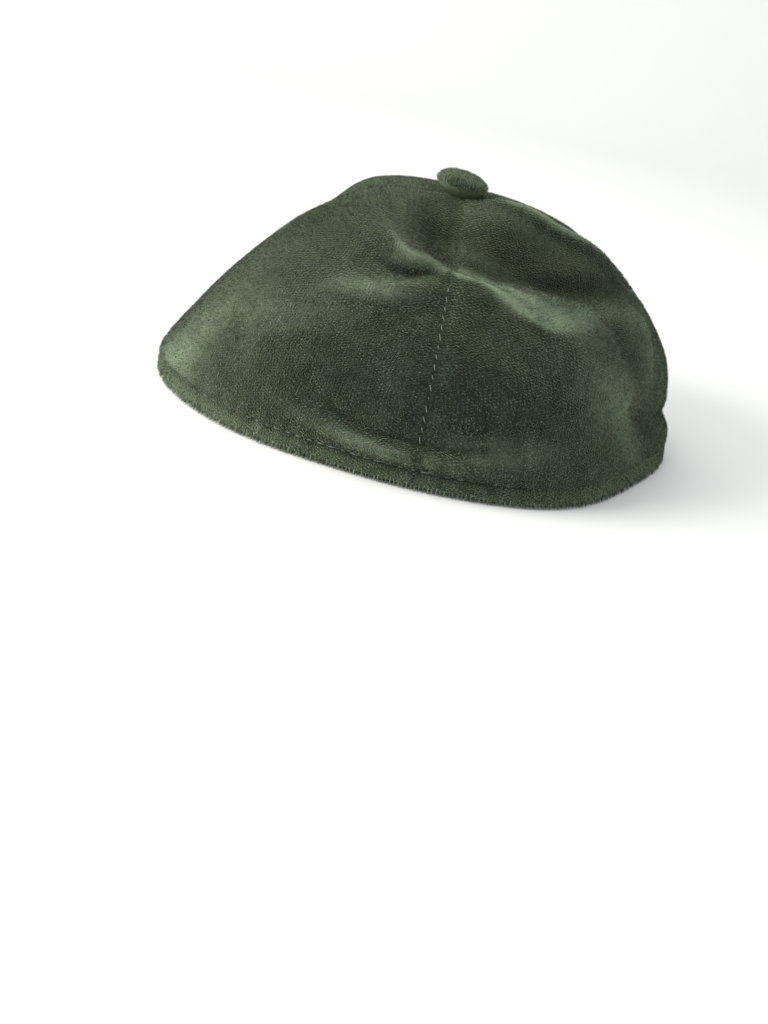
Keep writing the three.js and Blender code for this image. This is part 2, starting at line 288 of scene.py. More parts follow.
def read(items, field, width=3):
    """One field of a mesh's vertices, faces or the like, as an array of rows."""
    values = np.empty(len(items) * width, bool if field == "select" else np.float32)
    items.foreach_get(field, values)
    return values.reshape(-1, width).astype(float) if width > 1 else values.astype(float)


def set_points(piece, points):
    """Moves a piece's vertices to points."""
    piece.data.vertices.foreach_set("co", points.astype(np.float32).ravel())
    piece.data.update()


def azimuth_of(points):
    """Degrees round the cap from the front, towards the right."""
    return np.degrees(np.arctan2(points[:, 0], -points[:, 1]))


def outward(points):
    """The direction out of the crown at each point, from a centre low in the cap."""
    away = points - CROWN_CENTRE
    return away / np.linalg.norm(away, axis=1)[:, None]


def line_through(places, steps=120):
    """A smooth line through places, as points."""
    at = np.linspace(0, len(places) - 1, steps)
    before = np.clip(at.astype(int), 0, len(places) - 2)
    share = (at - before)[:, None]
    padded = np.vstack([2 * places[0] - places[1], places, 2 * places[-1] - places[-2]])
    a, b, c, d = (padded[before + k] for k in range(4))
    return b + 0.5 * share * (c - a + share * (2 * a - 5 * b + 4 * c - d + share * (3 * (b - c) + d - a)))


def place_on_crown(azimuth, height):
    """The crown's outermost point near an azimuth in degrees and a height in millimetres."""
    aside = (crown_azimuth - azimuth + 180) % 360 - 180
    off = np.hypot(aside * AZIMUTH_WEIGHT, crown[:, 2] * 1000 - height)
    near = np.argpartition(off, NEAREST)[:NEAREST]
    return crown[near[np.argmax(np.linalg.norm(crown[near], axis=1))]]


def swell_along(points, row):
    """A soft swell along a row's line, from 1 at its middle to nothing at its ends and aside."""
    line = line_through(np.array([place_on_crown(*place) for place in row["line"]]))
    reach = row["width"] * SWELL_REACH
    near = ((points > line.min(0) - reach) & (points < line.max(0) + reach)).all(1)
    swell = np.zeros(len(points))
    if near.any():
        off = np.linalg.norm(points[near][:, None] - line[None], axis=2) * 1000
        fade = np.sin(np.linspace(0, np.pi, len(line)))
        swell[near] = (fade * np.exp(-((off / row["width"]) ** 2))).max(1)
    return swell


def fold_height(points):
    """How far the folds push each point out, in metres."""
    return sum(swell_along(points, row) * row["out"] for row in FOLDS) / 1000


def turn_from(points, azimuth):
    """Degrees round the cap from an azimuth, from -180 to 180."""
    return (azimuth_of(points) - azimuth + 180) % 360 - 180


def beside_seams(points, middle):
    """A gore's closeness to its seams, from 1 on them to nothing a few millimetres away."""
    aside = np.radians(HALF_GORE - np.abs(turn_from(points, middle)))
    off = aside * np.hypot(points[:, 0], points[:, 1])
    return np.exp(-((off / SEAM_GROOVE) ** 2))


def beside_hem(points):
    """Closeness to the groove of the top stitching, from 1 in it to nothing a millimetre or two away."""
    return np.exp(-(((points[:, 2] - HEM_TOP) / HEM_GROOVE) ** 2))


def painted_light_tone(points, middle):
    """Painted light and shade at each point, from -1 (shade) to 1 (highlight), shaded by the seams and the
    stitching.
    """
    tone = sum(swell_along(points, row) * row["light"] for row in PAINTED_LIGHT_PATCHES)
    tone = tone - SEAM_SHADE * beside_seams(points, middle) - HEM_SHADE * beside_hem(points)
    return np.clip(tone, -1, 1)


def wave_round_rim(points, wave):
    """A wave round the rim, with its pitch in millimetres."""
    turn = np.radians(azimuth_of(points)) * RIM_RADIUS * 2 * np.pi / wave["pitch"] + wave["shift"]
    return wave["height"] * np.sin(turn)


def pucker_height(points):
    """The ripple that the top stitching gathers into the cloth on both sides of it, in metres."""
    ripple = sum(wave_round_rim(points, wave) for wave in PUCKER_WAVES)
    swell = 0.5 + wave_round_rim(points, PUCKER_SWELL)
    above = (points[:, 2] - HEM_TOP) * 1000
    puff = PUFF["out"] * np.exp(-(((above - PUFF["above"]) / PUFF["reach"]) ** 2))
    lift = puff + PUCKER_DEPTH * ripple * (PUCKER_LEAST + swell) * np.exp(-((above / PUCKER_REACH) ** 2))
    for row in HEM_TUCKS:
        lean = azimuth_of(points) - row["azimuth"] - row["slant"] * above
        tuck = np.exp(-((lean / row["width"]) ** 2) - ((above - TUCK_ABOVE) / TUCK_REACH) ** 2)
        lift = lift - row["deep"] / 1000 * tuck
    return lift


def eased(share):
    """A soft step: nothing below 0, the whole above 1."""
    share = np.clip(share, 0, 1)
    return share * share * (3 - 2 * share)


def left_swell(points):
    """How far the slack left end hangs over its hem, and its corner is pushed out, in metres."""
    height = points[:, 2] * 1000
    hang = np.exp(-(turn_from(points, LEFT_HANG["azimuth"]) / LEFT_HANG["spread"]) ** 2)
    hang = hang * eased(height / LEFT_HANG["foot"]) * eased((LEFT_HANG["top"] - height) / LEFT_HANG["fade"])
    foot = np.exp(-((azimuth_of(points) - LEFT_FOOT["azimuth"]) / LEFT_FOOT["spread"]) ** 2)
    foot = foot * eased((LEFT_FOOT["top"] - height) / LEFT_FOOT["fade"])
    return LEFT_HANG["out"] * hang + LEFT_FOOT["out"] * foot


def seam_axes(seam):
    """The directions across a seam and out along it, from its azimuth in degrees."""
    turn = math.radians(seam)
    across = np.array([math.cos(turn), math.sin(turn), 0])
    return across, np.array([math.sin(turn), -math.cos(turn), 0])


def pull_at(off, pull):
    """How far cloth is drawn over a gap, from the distance to the gap's middle."""
    return pull["by"] * np.exp(-np.maximum(off - pull["edge"], 0) / pull["reach"])


def close_seams(points, middle):
    """Brings a gore's edges to its seams, and its foot to the hem, across the gap that the solids have."""
    for seam in (middle - HALF_GORE, middle + HALF_GORE):
        across, out = seam_axes(seam)
        inside = 1 if seam < middle else -1
        off = points @ across * inside
        pull = np.where(points @ out > 0, pull_at(off, SEAM_PULL), 0)
        points = points - inside * across * pull[:, None]
    drop = pull_at(points[:, 2] - HEM_TOP, HEM_PULL)
    return points - np.array([0, 0, 1]) * drop[:, None]


def velvet(name, grain, shine):
    """Velvet with a short crushed pile: wales along the grain, lighter tips, a frosted edge, and painted
    light and shade from its tone.
    """
    material = bpy.data.materials.new(name)
    material.use_nodes = True
    nodes, links = material.node_tree.nodes, material.node_tree.links
    shader = nodes["Principled BSDF"]
    place = nodes.new("ShaderNodeAttribute")
    place.attribute_name = "cloth"
    turn = nodes.new("ShaderNodeMapping")
    turn.inputs["Rotation"].default_value = (0, 0, math.radians(grain))
    links.new(place.outputs["Vector"], turn.inputs["Vector"])

    def noise(scale, detail=2.0):
        node = nodes.new("ShaderNodeTexNoise")
        node.inputs["Scale"].default_value = scale
        node.inputs["Detail"].default_value = detail
        links.new(turn.outputs["Vector"], node.inputs["Vector"])
        return node.outputs["Fac"]

    def stripes(direction, pitch):
        node = nodes.new("ShaderNodeTexWave")
        node.bands_direction = direction
        node.inputs["Scale"].default_value = math.pi / 10 / pitch
        node.inputs["Distortion"].default_value = 0.7
        node.inputs["Detail"].default_value = 1.0
        node.inputs["Detail Scale"].default_value = 0.8
        links.new(turn.outputs["Vector"], node.inputs["Vector"])
        return maths("SUBTRACT", node.outputs["Fac"], 0.5)

    def wire(socket, value):
        if isinstance(value, bpy.types.NodeSocket):
            links.new(value, socket)
        else:
            socket.default_value = value

    def ramp(value, low, high):
        node = nodes.new("ShaderNodeMapRange")
        node.interpolation_type = "SMOOTHSTEP"
        node.inputs["From Min"].default_value = low
        node.inputs["From Max"].default_value = high
        wire(node.inputs["Value"], value)
        return node.outputs["Result"]

    def mix(share, a, b):
        node = nodes.new("ShaderNodeMix")
        node.data_type = "RGBA"
        wire(node.inputs[0], share)
        wire(node.inputs[6], a)
        wire(node.inputs[7], b)
        return node.outputs[2]

    def maths(kind, a, b):
        node = nodes.new("ShaderNodeMath")
        node.operation = kind
        wire(node.inputs[0], a)
        wire(node.inputs[1], b)
        return node.outputs["Value"]

    dots = ramp(maths("MULTIPLY", stripes("X", 2 * WALE_PITCH), stripes("Y", LOOP_PITCH)), 0.05, 0.22)
    parted = ramp(noise(PARTED_SCALE), 0.4, 0.62)
    speckle = noise(SPECKLE_SCALE)
    grit = ramp(noise(GRIT_SCALE), 0.5, 0.7)
    crushed = noise(CRUSHED_SCALE, 3.0)
    # The tone attribute paints light and shade: it blends the pile towards the painted highlight and
    # painted shade colours, and fades the light tips in painted shade.
    painted_light_node = nodes.new("ShaderNodeAttribute")
    painted_light_node.attribute_name = "painted_light_and_shade"
    painted_light_and_shade = maths("MULTIPLY", painted_light_node.outputs["Fac"], maths("ADD", noise(CRUSHED_SCALE, 4.0), 0.5))
    body = mix(ramp(crushed, 0.35, 0.7), PILE_SHADOW, PILE_BODY)
    body = mix(ramp(painted_light_and_shade, 0, 1), mix(ramp(painted_light_and_shade, -1, 0), PILE_PAINTED_SHADE, body), PILE_PAINTED_HIGHLIGHT)
    loops = maths("MULTIPLY", maths("MULTIPLY", dots, parted), LOOP_LIGHT)
    tips = maths("ADD", loops, maths("MULTIPLY", grit, GRIT_LIGHT))
    tips = maths("MULTIPLY", tips, ramp(speckle, 0.42, 0.66))
    tips = maths("MULTIPLY", tips, ramp(painted_light_and_shade, -1.2, 0.8))
    links.new(mix(tips, body, PILE_TIP), shader.inputs["Base Color"])
    bump = nodes.new("ShaderNodeBump")
    bump.inputs["Strength"].default_value = 0.9
    bump.inputs["Distance"].default_value = PILE_RELIEF
    wales = maths("MULTIPLY", stripes("X", WALE_PITCH), WALE_RELIEF)
    ribbed = maths("ADD", wales, maths("MULTIPLY", dots, LOOP_RELIEF))
    links.new(maths("ADD", speckle, ribbed), bump.inputs["Height"])
    links.new(bump.outputs["Normal"], shader.inputs["Normal"])
    shader.inputs["Roughness"].default_value = 0.9
    shader.inputs["Specular IOR Level"].default_value = 0.1
    shader.inputs["Sheen Weight"].default_value = shine
    shader.inputs["Sheen Roughness"].default_value = 0.45
    shader.inputs["Sheen Tint"].default_value = PILE_SHEEN
    return material


def knitted_back():
    """The velvet's plain knitted back, which lines the hollow."""
    material = bpy.data.materials.new("velvet back")
    material.use_nodes = True
    nodes, links = material.node_tree.nodes, material.node_tree.links
    shader = nodes["Principled BSDF"]
    place = nodes.new("ShaderNodeAttribute")
    place.attribute_name = "cloth"
    knit = nodes.new("ShaderNodeTexWave")
    knit.bands_direction = "DIAGONAL"
    knit.inputs["Scale"].default_value = KNIT_SCALE
    knit.inputs["Distortion"].default_value = 1.0
    links.new(place.outputs["Vector"], knit.inputs["Vector"])
    tone = nodes.new("ShaderNodeMix")
    tone.data_type = "RGBA"
    tone.inputs[6].default_value = [BACKING_DARK * c for c in BACKING[:3]] + [1]
    tone.inputs[7].default_value = BACKING
    links.new(knit.outputs["Fac"], tone.inputs[0])
    links.new(tone.outputs[2], shader.inputs["Base Color"])
    bump = nodes.new("ShaderNodeBump")
    bump.inputs["Strength"].default_value = 0.3
    bump.inputs["Distance"].default_value = KNIT_RELIEF
    links.new(knit.outputs["Fac"], bump.inputs["Height"])
    links.new(bump.outputs["Normal"], shader.inputs["Normal"])
    shader.inputs["Roughness"].default_value = 0.95
    shader.inputs["Sheen Weight"].default_value = 0.15
    return material


def places_in_gore(points, middle):
    """Places in the flat cloth, in millimetres: across the gore and up it."""
    x, y, z = points.T * 1000
    out = np.hypot(x, y)
    aside = np.radians(turn_from(points, middle)) * out
    return np.stack([aside, np.hypot(CLOTH_RIM - out, z + CLOTH_FOOT), np.zeros(len(points))], 1)


def write_cloth(piece, places):
    """Gives each point of a piece its place in the flat cloth."""
    piece.data.attributes.new("cloth", "FLOAT_VECTOR", "POINT")
    piece.data.attributes["cloth"].data.foreach_set("vector", places.astype(np.float32).ravel())


def write_painted_light(piece, tone):
    """Gives a piece its painted light and shade at each point."""
    piece.data.attributes.new("painted_light_and_shade", "FLOAT", "POINT")
    piece.data.attributes["painted_light_and_shade"].data.foreach_set("value", tone.astype(np.float32))


def back_inside(piece):
    """Puts the second material on the faces that look into the hollow."""
    normals = read(piece.data.polygons, "normal")
    inside = (normals * outward(read(piece.data.polygons, "center"))).sum(1) < INSIDE_FACING
    piece.data.polygons.foreach_set("material_index", inside.astype(np.int32))


def finish_velvet(piece, node):
    """Puts a velvet piece on the cap in place of its solid."""
    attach(piece, "root")
    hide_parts(node)


gores = {gore["side"]: copy_of(f"panel_{gore['side']}", f"velvet_{gore['side']}") for gore in GORES}
for side, piece in gores.items():
    subdivide(piece, 2 if side.startswith("front") else 3, crease=GORE_CREASE)
crown = np.concatenate([read(piece.data.vertices, "co") for piece in gores.values()])
crown_azimuth = azimuth_of(crown)
velvet_back = knitted_back()
for gore in GORES:
    side = gore["side"]
    piece = gores[side]
    points = read(piece.data.vertices, "co")
    lift = fold_height(points) + pucker_height(points) + left_swell(points)
    lift = lift + SEAM_FILL * beside_seams(points, gore["middle"])
    sunk = close_seams(points + outward(points) * lift[:, None], gore["middle"])
    set_points(piece, sunk)
    write_cloth(piece, places_in_gore(sunk, gore["middle"]))
    # The gore's pile gets its painted light and shade.
    write_painted_light(piece, painted_light_tone(points, gore["middle"]))
    piece.data.materials.append(velvet(f"velvet {side}", gore["grain"], gore["shine"]))
    piece.data.materials.append(velvet_back)
    back_inside(piece)
    finish_velvet(piece, f"panel_{side}")

# The hem is the gores' lower edge, turned under and sewn down.
# The cap stands on it, a soft doubled roll of pile.
# The top stitching above it draws the cloth in, so that it is slightly puckered all the way round.
# The hem's pile takes painted light all round, and painted shade on its right front and in the stitching
# groove.
HEM_PAINTED_LIGHT = 0.2
HEM_FOOT = 0.0011
HEM_CREASE = 0.3
HEM_SHINE = 0.7
HEM_GRAIN = 0
HEM_FOOT_FADE = 0.002
HEM_FOOT_REACH = 0.003
HEM_PAINTED_SHADE = {"azimuth": 55, "spread": 28, "deep": 0.5}
hem = copy_of("hem", "velvet_hem")
subdivide(hem, 3, crease=HEM_CREASE)
points = read(hem.data.vertices, "co")
foot_fade = np.clip(points[:, 2] / HEM_FOOT_FADE, 0, 1)
lift = pucker_height(points) * foot_fade + left_swell(points)
points = points + outward(points) * (1, 1, 0) * lift[:, None]
points[:, 2] += HEM_FOOT * np.clip(1 - points[:, 2] / HEM_FOOT_REACH, 0, 1)
set_points(hem, points)
write_cloth(hem, places_in_gore(points, 0))
# Painted shade darkens the hem towards its right front.
dark = np.exp(-((azimuth_of(points) - HEM_PAINTED_SHADE["azimuth"]) / HEM_PAINTED_SHADE["spread"]) ** 2)
write_painted_light(hem, HEM_PAINTED_LIGHT - HEM_PAINTED_SHADE["deep"] * dark - HEM_SHADE * beside_hem(points))
hem.data.materials.append(velvet("velvet hem", HEM_GRAIN, HEM_SHINE))
finish_velvet(hem, "hem")

# The button is a domed mould covered in the same velvet, sewn through the point where the gores' tips meet.
# Its cloth is drawn in below, so its underside is rounder, with painted shade under it and a little painted
# light on its top.
BUTTON_SHINE = 0.55
BUTTON_GRAIN = -4
BUTTON_SHANK = 0.002
BUTTON_PAINTED_LIGHT_AND_SHADE = {"from": 0.0765, "rise": 0.003, "light": 0.2}
BUTTON_SEAT = 1.33
BUTTON_WAIST = 0.0772
BUTTON_TUCK_HEIGHT = 0.0055
BUTTON_TUCK = 0.38
button = copy_of("button", "velvet_button")
subdivide(button, 1)
points = read(button.data.vertices, "co")
beyond_shank = np.clip((np.hypot(points[:, 0], points[:, 1]) - BUTTON_SHANK) / BUTTON_SHANK, 0, 1)
below_top = points[:, 2].max() - points[:, 2]
points[:, 2] -= below_top * (BUTTON_SEAT - 1) * beyond_shank
low_half = eased((BUTTON_WAIST - points[:, 2]) / BUTTON_TUCK_HEIGHT) * beyond_shank
points[:, :2] *= (1 - BUTTON_TUCK * low_half)[:, None]
set_points(button, points)
write_cloth(button, np.stack([points[:, 0], points[:, 1] - points[:, 2], 0 * points[:, 2]], 1) * 1000)
# Painted shade darkens the underside, and painted light lifts the top a little.
tone = (points[:, 2] - BUTTON_PAINTED_LIGHT_AND_SHADE["from"]) / BUTTON_PAINTED_LIGHT_AND_SHADE["rise"]
write_painted_light(button, np.clip(tone, -1, BUTTON_PAINTED_LIGHT_AND_SHADE["light"]))
button.data.materials.append(velvet("velvet button", BUTTON_GRAIN, BUTTON_SHINE))
finish_velvet(button, "button")

# The seams are sewn with a grey-green thread, which shows as slanted dashes where the pile parts over it.
# The hem is top-stitched with a dark teal thread, which lies in the groove between the hem and the gores.
SEAM_THREAD = (0.1, 0.135, 0.105, 1)
HEM_THREAD = (0.085, 0.125, 0.115, 1)
SEAM_STITCH = {"length": 0.0028, "gauge": 0.0004, "step": 0.0031, "slant": 20, "lift": 0.0002}
HEM_STITCH = {"length": 0.0027, "gauge": 0.00045, "step": 0.0036, "slant": 0, "lift": 0.0002}
SEAM_STITCH_TOP = 0.056
HEM_THREAD_SUNK = 0.0004
SEAM_EDGE = 0.0004
SEAM_LINE_STEP = 1.5
TIPS_CLEAR = 0.006
HEM_LINE_STEP = 2
HEM_LINE_BAND = 0.0012
HEM_LINE_RISE = 0.0001
HEM_THREAD_SHOWN = {"azimuth": -18, "spread": 42}
SLANT_JITTER = 7
STITCH_LENGTHS = (0.7, 1.1)
STITCH_LIFTS = (-0.6, 1.2)
PLY_SCALE = 2600
PLY_TONES = (0.55, 1.3)
stitch_dice = np.random.default_rng(5)


def spaced(line, step):
    """Points at even steps along a line, with the direction of the line at each."""
    lengths = np.concatenate([[0], np.cumsum(np.linalg.norm(np.diff(line, axis=0), axis=1))])
    at = np.arange(step / 2, lengths[-1], step)
    points = np.stack([np.interp(at, lengths, line[:, k]) for k in range(3)], 1)
    ahead = np.stack([np.interp(at + step / 4, lengths, line[:, k]) for k in range(3)], 1)
    behind = np.stack([np.interp(at - step / 4, lengths, line[:, k]) for k in range(3)], 1)
    along = ahead - behind
    return points, along / np.linalg.norm(along, axis=1)[:, None]


def smoothed(line, closed=False):
    """A line with its small jumps evened out."""
    for _ in range(3):
        before, after = np.roll(line, 1, 0), np.roll(line, -1, 0)
        even = (before + 2 * line + after) / 4
        line = even if closed else np.vstack([line[:1], even[1:-1], line[-1:]])
    return line


def seam_line(seam):
    """The bottom of the groove between two gores, from the hem to the tips."""
    across, away = seam_axes(seam)
    edge = crown[(np.abs(crown @ across) < SEAM_EDGE) & (crown @ away > TIPS_CLEAR)]
    rise = np.degrees(np.arctan2(edge[:, 2], np.hypot(edge[:, 0], edge[:, 1])))
    line = []
    for low in np.arange(rise.min(), rise.max() - 1, SEAM_LINE_STEP):
        near = edge[(rise >= low) & (rise < low + SEAM_LINE_STEP)]
        if len(near):
            line.append(near[np.argmax(np.linalg.norm(near - CROWN_CENTRE, axis=1))])
    line = smoothed(np.array(line))
    return line[line[:, 2] < SEAM_STITCH_TOP]


def hem_line():
    """The groove between the gores' feet and the hem, all the way round."""
    foot = crown[crown[:, 2] < HEM_TOP + HEM_LINE_BAND]
    around = azimuth_of(foot)
    line = []
    for low in np.arange(-180, 180, HEM_LINE_STEP):
        near = foot[(around >= low) & (around < low + HEM_LINE_STEP)]
        line.append(near[np.argmax(np.hypot(near[:, 0], near[:, 1]))])
    line = np.array(line)
    line[:, 2] = HEM_TOP + HEM_LINE_RISE
    line = smoothed(line, closed=True)
    aside = azimuth_of(line) - HEM_THREAD_SHOWN["azimuth"]
    shown = np.exp(-((aside / HEM_THREAD_SHOWN["spread"]) ** 2))
    line = line - outward(line) * (HEM_THREAD_SUNK * (1 - shown))[:, None]
    return np.vstack([line, line[:1]])


def twisted(name, colour):
    """A thread of twisted plies, lighter and darker than its colour by turns."""
    material = bpy.data.materials.new(name)
    material.use_nodes = True
    nodes, links = material.node_tree.nodes, material.node_tree.links
    shader = nodes["Principled BSDF"]
    place = nodes.new("ShaderNodeTexCoord")
    plies = nodes.new("ShaderNodeTexNoise")
    plies.inputs["Scale"].default_value = PLY_SCALE
    links.new(place.outputs["Object"], plies.inputs["Vector"])
    tone = nodes.new("ShaderNodeMix")
    tone.data_type = "RGBA"
    dark, light = PLY_TONES
    tone.inputs[6].default_value = [dark * c for c in colour[:3]] + [1]
    tone.inputs[7].default_value = [light * c for c in colour[:3]] + [1]
    links.new(plies.outputs["Fac"], tone.inputs[0])
    links.new(tone.outputs[2], shader.inputs["Base Color"])
    shader.inputs["Roughness"].default_value = 0.6
    return material


def sew(name, lines, stitch, colour):
    """One mesh of stitches along lines: each a short capsule of thread, laid along its line at a slant."""
    bpy.ops.object.select_all(action="DESELECT")
    bpy.ops.mesh.primitive_uv_sphere_add(segments=8, ring_count=6, radius=0.5)
    thread = bpy.context.object
    thread.name = thread.data.name = name
    shape = read(thread.data.vertices, "co")
    faces = [list(face.vertices) for face in thread.data.polygons]
    points, corners = [], []
    for line in lines:
        places, along = spaced(line, stitch["step"])
        up = outward(places)
        aside = np.cross(up, along)
        count = len(places)
        slant = np.radians(stitch["slant"] + stitch_dice.normal(0, SLANT_JITTER, count))[:, None]
        length = along * np.cos(slant) + aside * np.sin(slant)
        width = np.cross(up, length)
        length = length * stitch_dice.uniform(*STITCH_LENGTHS, (count, 1))
        places = places + up * stitch["lift"] * stitch_dice.uniform(*STITCH_LIFTS, (count, 1))
        for place, x, y, z in zip(places, length, width, up):
            corners += [[v + len(points) * len(shape) for v in face] for face in faces]
            sag = -np.abs(shape[:, :1]) ** 2 * z * stitch["gauge"] * 2
            points.append(place + sag + shape[:, :1] * x * stitch["length"]
                          + (shape[:, 1:2] * y + shape[:, 2:] * z) * stitch["gauge"])
    thread.data.clear_geometry()
    thread.data.from_pydata(np.concatenate(points), [], corners)
    thread.data.shade_smooth()
    thread.data.materials.append(twisted(name.replace("_", " "), colour))
    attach(thread, "root")


crown = np.concatenate([read(piece.data.vertices, "co") for piece in gores.values()])
sew("seam_stitches", [seam_line(gore["middle"] - HALF_GORE) for gore in GORES], SEAM_STITCH, SEAM_THREAD)
sew("hem_stitches", [hem_line()], HEM_STITCH, HEM_THREAD)

# The pile is the velvet's cut loops: fine fibres about a millimetre long, in rows along the wales.
# They lean with the nap, are crushed in places and part over the stitches.
# Along the foot of the hem they hang in small tufts.
FIBRES_PER_MM2 = 12.0
FIBRE_LENGTH = 0.0009
FIBRE_WIDTH = 0.00012
FIBRE_LEAN = 26
LEAN_CHANGE = 0.6
FIBRE_STRAY = 0.2
FIBRE_LENGTHS = (0.65, 1.25)
ROOT_DEPTH = 0.0001
OUTSIDE_FACING = 0.1
ROW_SHARE = 0.6
SEAM_PARTING = 0.0005
HEM_PARTING = 0.0004
HEM_TUFTS = 390
FRINGE_TOP = 0.0034
FRINGE_FADE = 0.0014
FRINGE_LONGER = 0.9
FRINGE_SPLAY = 0.6
ROOTS_GATHERED = 0.45
TIPS_GATHERED = 0.9
FLOOR_CLEAR = 0.0001
LEAST_SHARE = 0.02
# Each tint's share shifts with the painted light and shade: frosted fibres for painted highlight, deep ones
# for painted shade.
FIBRE_TINTS = [
    {"tint": "deep", "colour": (0.014, 0.022, 0.012, 1), "share": 0.42, "painted_light_and_shade": -0.4},
    {"tint": "green", "colour": (0.045, 0.06, 0.034, 1), "share": 0.34, "painted_light_and_shade": 0.02},
    {"tint": "frosted", "colour": (0.17, 0.205, 0.14, 1), "share": 0.24, "painted_light_and_shade": 0.38},
]
TUFT_SIZE = 0.5
TUFT_GRID = 211
TUFT_ALIKE = 0.75
fibre_dice = np.random.default_rng(11)
tuft_draws = fibre_dice.random((TUFT_GRID, TUFT_GRID))
fibre_materials = []
for row in FIBRE_TINTS:
    fibre = bpy.data.materials.new(f"{row['tint']} pile")
    fibre.use_nodes = True
    shader = fibre.node_tree.nodes["Principled BSDF"]
    shader.inputs["Base Color"].default_value = row["colour"]
    shader.inputs["Roughness"].default_value = 0.55
    shader.inputs["Specular IOR Level"].default_value = 0.3
    fibre_materials.append(fibre)


def unit(rows):
    """Rows brought to a length of 1."""
    return rows / np.maximum(np.linalg.norm(rows, axis=1), 1e-9)[:, None]


def gather_tufts(places, share):
    """Draws fibres together into the tufts that show along the hem."""
    around = np.arctan2(places[:, 1], places[:, 0])
    step = 2 * np.pi / HEM_TUFTS
    shift = (np.round(around / step) * step - around) * share
    x = places[:, 0] * np.cos(shift) - places[:, 1] * np.sin(shift)
    y = places[:, 0] * np.sin(shift) + places[:, 1] * np.cos(shift)
    return np.stack([x, y, places[:, 2]], 1)


def rooted(piece, grain):
    """Roots of fibres over a piece's outside, with each one's way out, place in the cloth and tone."""
    mesh = piece.data
    mesh.calc_loop_triangles()
    corners = read(mesh.loop_triangles, "vertices").astype(int)
    points = read(mesh.vertices, "co")
    normals = read(mesh.vertex_normals, "vector")
    cloth = read(mesh.attributes["cloth"].data, "vector")
    painted_light_and_shade = read(mesh.attributes["painted_light_and_shade"].data, "value", 1)[:, None]
    sides = points[corners]
    face = np.cross(sides[:, 1] - sides[:, 0], sides[:, 2] - sides[:, 0])
    area = np.linalg.norm(face, axis=1) / 2
    area = np.where((unit(face) * outward(sides.mean(1))).sum(1) > OUTSIDE_FACING, area, 0)
    count = int(FIBRES_PER_MM2 * area.sum() * 1e6)
    picks = corners[fibre_dice.choice(len(corners), count, p=area / area.sum())]
    shares = fibre_dice.dirichlet((1, 1, 1), count)[:, :, None]
    roots, up, flat, tone = ((rows[picks] * shares).sum(1) for rows in (points, normals, cloth, painted_light_and_shade))
    turn = math.radians(grain)
    wale = (flat[:, 0] * math.cos(turn) - flat[:, 1] * math.sin(turn)) / WALE_PITCH
    loop = (flat[:, 0] * math.sin(turn) + flat[:, 1] * math.cos(turn)) / LOOP_PITCH
    chance = ROW_SHARE + (1 - ROW_SHARE) * np.cos(np.pi * wale) * np.cos(2 * np.pi * loop)
    in_row = fibre_dice.random(count) < chance
    around = (azimuth_of(roots) - GORES[0]["middle"] + HALF_GORE) % GORE_TURN
    seam_off = np.radians(np.minimum(around, GORE_TURN - around)) * np.hypot(roots[:, 0], roots[:, 1])
    beyond_seam = (roots[:, 2] > SEAM_STITCH_TOP) | (roots[:, 2] < HEM_TOP)
    keep = in_row & ((seam_off > SEAM_PARTING) | beyond_seam)
    keep = keep & (np.abs(roots[:, 2] - HEM_TOP) > HEM_PARTING)
    return roots[keep], unit(up[keep]), flat[keep], tone[keep]


def tints_of(flat, tone):
    """Each fibre's tint: mostly one per tuft, lighter on the fringe and in painted light, darker in painted
    shade.
    """
    shares = np.maximum([row["share"] + row["painted_light_and_shade"] * tone for row in FIBRE_TINTS], LEAST_SHARE)
    bounds = np.cumsum(shares / shares.sum(0), axis=0)[:-1]
    tuft = np.floor(flat[:, :2] / TUFT_SIZE).astype(int) % TUFT_GRID
    alike = fibre_dice.random(len(flat)) < TUFT_ALIKE
    draw = np.where(alike, tuft_draws[tuft[:, 0], tuft[:, 1]], fibre_dice.random(len(flat)))
    return (draw > bounds).sum(0)


def grow_pile(piece, grain, fringe=False):
    """One mesh of fibres on a velvet piece's outside, each a thin blade that runs to a point."""
    roots, up, flat, tone = rooted(piece, grain)
    count = len(roots)
    low = np.zeros((count, 1))
    if fringe:
        low = eased((FRINGE_TOP - roots[:, 2]) / FRINGE_FADE)[:, None]
    roots = np.where(low > 0, gather_tufts(roots, ROOTS_GATHERED), roots)
    down = np.array([0, 0, -1])
    lie = unit(down - up * (up @ down)[:, None])
    crush = np.sin(flat[:, 0] / 5.1 + np.sin(flat[:, 1] / 7.3)) * np.sin(flat[:, 1] / 6.2 + flat[:, 0] / 17)
    lean = np.radians(FIBRE_LEAN * (1 + LEAN_CHANGE * crush))[:, None]
    way = unit(up * np.cos(lean) + lie * np.sin(lean) + fibre_dice.normal(0, FIBRE_STRAY, (count, 3)))
    way = unit(way * (1 - low) + (unit(up * (1, 1, 0)) * FRINGE_SPLAY + down) * low)
    length = FIBRE_LENGTH * fibre_dice.uniform(*FIBRE_LENGTHS, count)[:, None]
    length = length * (1 + FRINGE_LONGER * low)
    half = unit(np.cross(way, fibre_dice.normal(0, 1, (count, 3)))) * FIBRE_WIDTH / 2 * (1 + low)
    roots = roots - up * ROOT_DEPTH
    tips = roots + way * length
    tips = np.where(low > 0, gather_tufts(tips, TIPS_GATHERED), tips)
    tips[:, 2] = np.maximum(tips[:, 2], FLOOR_CLEAR)
    fibres = bpy.data.meshes.new(piece.name + "_pile")
    blades = np.stack([roots - half, roots + half, tips], 1).reshape(-1, 3)
    fibres.from_pydata(blades, [], np.arange(3 * count).reshape(-1, 3))
    for fibre in fibre_materials:
        fibres.materials.append(fibre)
    tints = tints_of(flat, (tone + low)[:, 0])
    fibres.polygons.foreach_set("material_index", tints.astype(np.int32))
    pile = bpy.data.objects.new(fibres.name, fibres)
    bpy.context.collection.objects.link(pile)
    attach(pile, "root")


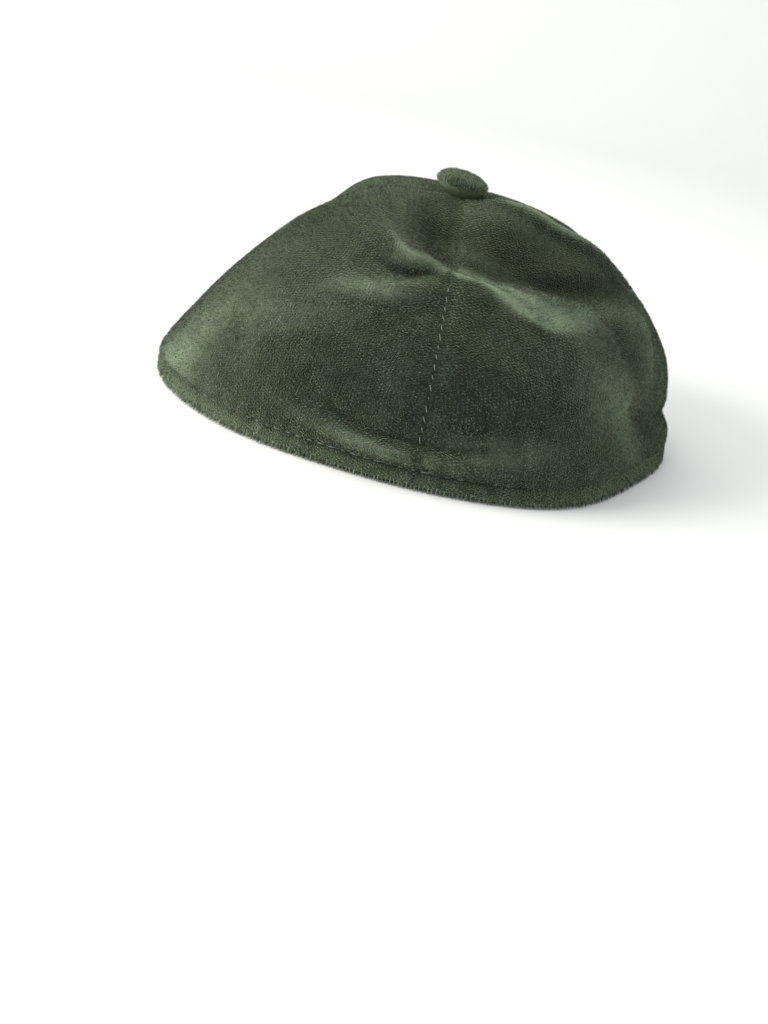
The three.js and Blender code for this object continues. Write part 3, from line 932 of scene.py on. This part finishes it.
for gore in GORES:
    grow_pile(gores[gore["side"]], gore["grain"])
grow_pile(hem, HEM_GRAIN, fringe=True)
grow_pile(button, BUTTON_GRAIN)

# A pale floor runs back and up into a curved backdrop.
# Soft light comes from above and from the left, and an even light from all round.
BACKDROP_WIDE = 6
BACKDROP_LONG = 4
BACKDROP_TALL = 3
BACKDROP_BACK = 1.6
BACKDROP_CURVE = 0.7
PAPER = (0.8, 0.79, 0.76, 1)
ROOM_COLOUR = (0.88, 0.95, 1.0, 1)
ROOM_STRENGTH = 0.92
bpy.ops.object.select_all(action="DESELECT")
bpy.ops.mesh.primitive_plane_add(size=1)
backdrop = bpy.context.object
backdrop.name = "backdrop"
bpy.ops.object.mode_set(mode="EDIT")
bpy.ops.transform.resize(value=(BACKDROP_WIDE, BACKDROP_LONG, 1))
bpy.ops.transform.translate(value=(0, BACKDROP_BACK - BACKDROP_LONG / 2, 0))
bpy.ops.object.mode_set(mode="OBJECT")
for edge in backdrop.data.edges:
    edge.select = all(backdrop.data.vertices[v].co.y > 0 for v in edge.vertices)
for face in backdrop.data.polygons:
    face.select = False
bpy.ops.object.mode_set(mode="EDIT")
bpy.ops.mesh.select_mode(type="EDGE")
bpy.ops.mesh.extrude_region_move(TRANSFORM_OT_translate={"value": (0, 0, BACKDROP_TALL)})
bpy.ops.object.mode_set(mode="OBJECT")
for edge in backdrop.data.edges:
    ends = [backdrop.data.vertices[v].co for v in edge.vertices]
    edge.select = all(end.y > 0 and end.z < 0.01 for end in ends)
bpy.ops.object.mode_set(mode="EDIT")
bpy.ops.mesh.bevel(offset=BACKDROP_CURVE, segments=16)
bpy.ops.object.mode_set(mode="OBJECT")
bpy.ops.object.shade_smooth()
paper = bpy.data.materials.new("pale paper")
paper.use_nodes = True
shader = paper.node_tree.nodes["Principled BSDF"]
shader.inputs["Base Color"].default_value = PAPER
shader.inputs["Roughness"].default_value = 0.8
backdrop.data.materials.append(paper)


def soft_light(name, place, size, power, colour):
    """A square soft light that faces the cap."""
    bpy.ops.object.light_add(type="AREA", location=place)
    light = bpy.context.object
    light.name = name
    light.data.size = size
    light.data.energy = power
    light.data.color = colour
    light.rotation_euler = (-light.location).to_track_quat("-Z", "Y").to_euler()


soft_light("overhead", place=(-0.5, 0.2, 1.15), size=0.9, power=5, colour=(1.0, 0.98, 0.92))
soft_light("left window", place=(-1.2, -0.35, 0.5), size=0.8, power=27, colour=(1.0, 0.98, 0.9))
world = bpy.data.worlds.new("room")
bpy.context.scene.world = world
world.use_nodes = True
room = world.node_tree.nodes["Background"]
room.inputs["Color"].default_value = ROOM_COLOUR
room.inputs["Strength"].default_value = ROOM_STRENGTH
bpy.context.scene.view_settings.view_transform = "Standard"
